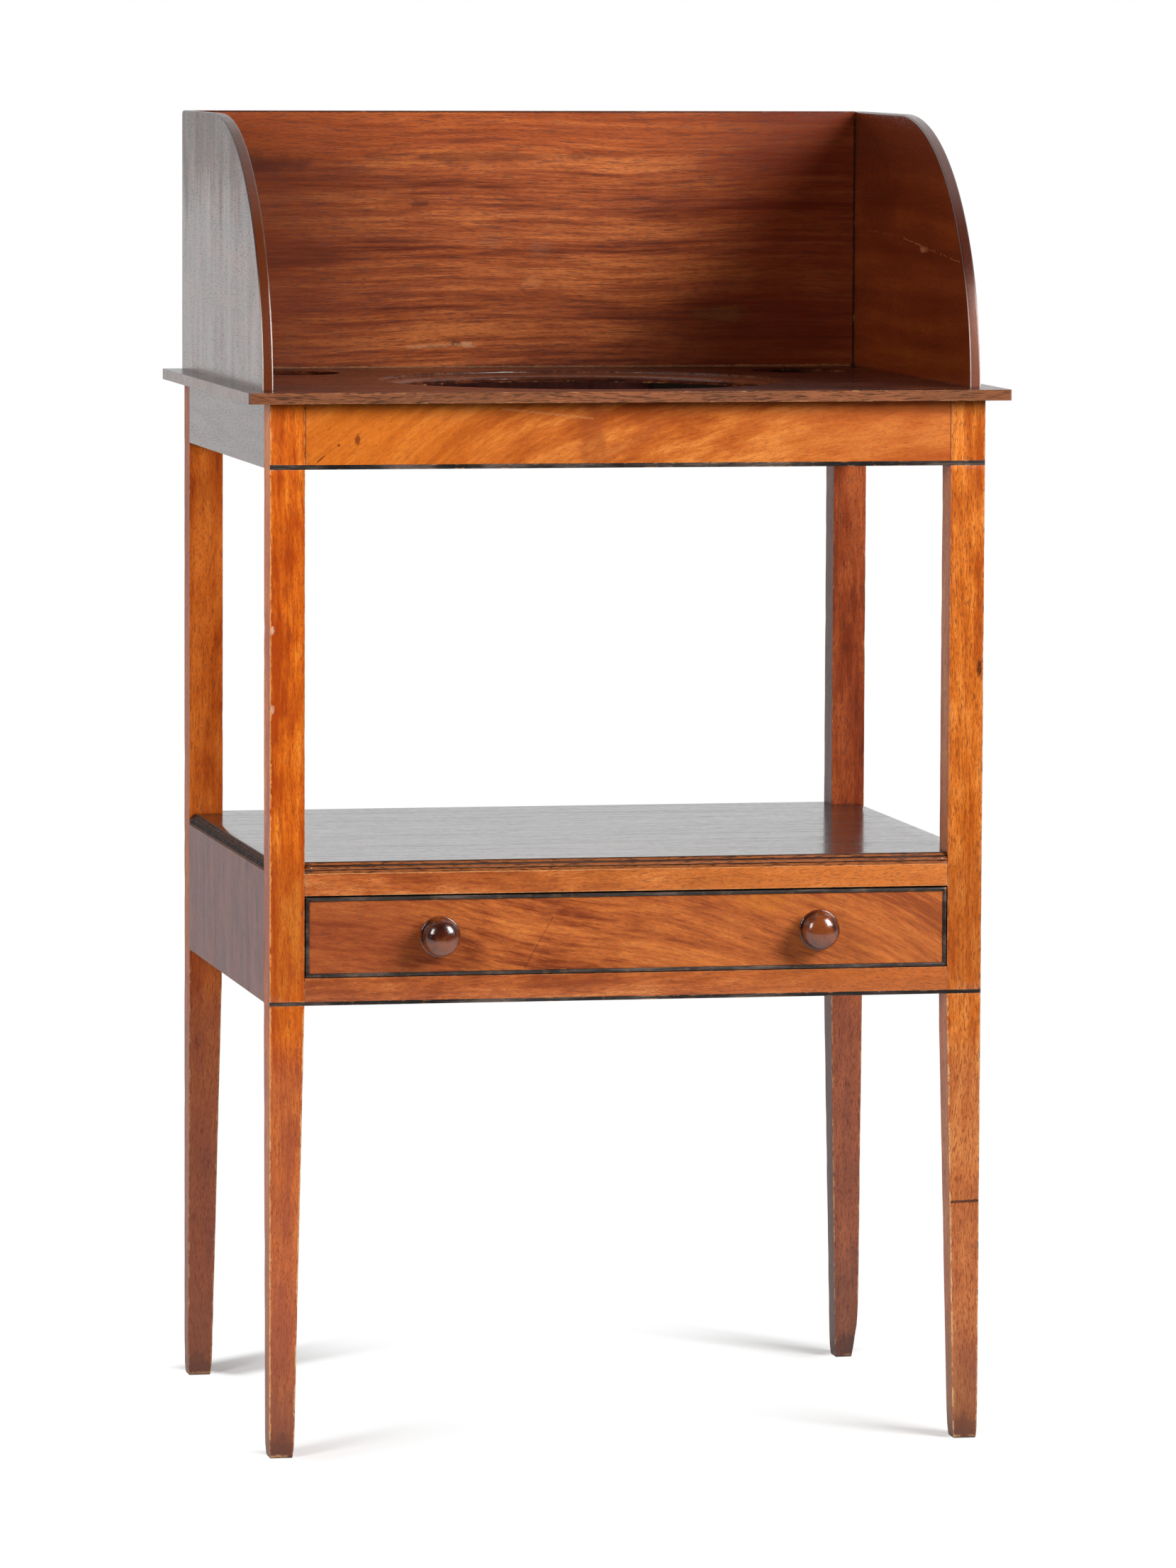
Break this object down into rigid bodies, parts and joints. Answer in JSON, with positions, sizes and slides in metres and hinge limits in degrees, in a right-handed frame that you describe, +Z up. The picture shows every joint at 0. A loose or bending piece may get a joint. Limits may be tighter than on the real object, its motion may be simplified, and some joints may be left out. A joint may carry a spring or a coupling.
{
  "type": "washstand",
  "caption": "Wooden washstand: a top cut for a basin and beakers inside a gallery with swept ends, an open bay, a shelf and a cockbeaded drawer, on square tapered legs.",
  "frame": {"origin": "on the floor, under the middle of the whole outline: midway between the sides, and midway between the knobs' fronts and the back", "axes": "+X to the right of someone facing the drawer, +Y to the back, +Z up; the drawer opens along -Y"},
  "size_m": [0.5962, 0.4514, 1.0274],
  "materials": {
    "mahogany_figured": "French-polished figured mahogany, satin, golden to orange brown",
    "mahogany_gallery": "polished mahogany, satin, red brown with dark streaks",
    "mahogany_top": "polished mahogany, gloss, dark red brown",
    "mahogany_shelf": "polished mahogany, high gloss, dark red brown",
    "ebonised": "ebonised stringing and cockbead, satin black",
    "knob_wood": "turned mahogany, high gloss, very dark brown",
    "pine": "bare aged pine, matt, tan",
    "iron": "dull iron"
  },
  "bodies": {
    "stand": {"leg_front_left": "mahogany_figured", "leg_front_right": "mahogany_figured", "leg_back_left": "mahogany_figured", "leg_back_right": "mahogany_figured", "frieze_front": "mahogany_figured", "frieze_back": "mahogany_figured", "frieze_left": "mahogany_figured", "frieze_right": "mahogany_figured", "frieze_stringing": "ebonised", "drawer_rail_lower": "mahogany_figured", "drawer_rail_upper": "mahogany_figured", "case_stringing": "ebonised", "case_side_left": "mahogany_figured", "case_side_right": "mahogany_figured", "case_back": "pine", "drawer_runner_left": "pine", "drawer_runner_right": "pine", "drawer_kicker_left": "pine", "drawer_kicker_right": "pine", "drawer_guide_left": "pine", "drawer_guide_right": "pine", "drawer_stop_left": "pine", "drawer_stop_right": "pine", "shelf": "mahogany_shelf", "tabletop": "mahogany_top", "gallery_back": "mahogany_gallery", "gallery_left": "mahogany_gallery", "gallery_right": "mahogany_gallery", "glue_block_front_left": "pine", "glue_block_front_right": "pine", "glue_block_back_left": "pine", "glue_block_back_right": "pine", "top_screw_front_left": "iron", "top_screw_front_right": "iron", "top_screw_back_left": "iron", "top_screw_back_right": "iron", "gallery_screw_back_left": "iron", "gallery_screw_back_right": "iron", "gallery_screw_left_front": "iron", "gallery_screw_left_back": "iron", "gallery_screw_right_front": "iron", "gallery_screw_right_back": "iron"},
    "drawer": {"drawer_front": "mahogany_figured", "drawer_side_left": "pine", "drawer_side_right": "pine", "drawer_back": "pine", "drawer_bottom": "pine", "cockbead_lower": "ebonised", "cockbead_upper": "ebonised", "cockbead_left": "ebonised", "cockbead_right": "ebonised", "knob_left": "knob_wood", "knob_right": "knob_wood", "bottom_nail_left": "iron", "bottom_nail_middle": "iron", "bottom_nail_right": "iron"}
  },
  "joints": [
    {"name": "drawer_slide", "type": "slide", "parent": "stand", "child": "drawer", "axis": [0, -1, 0], "range_m": [0, 0.3]}
  ]
}
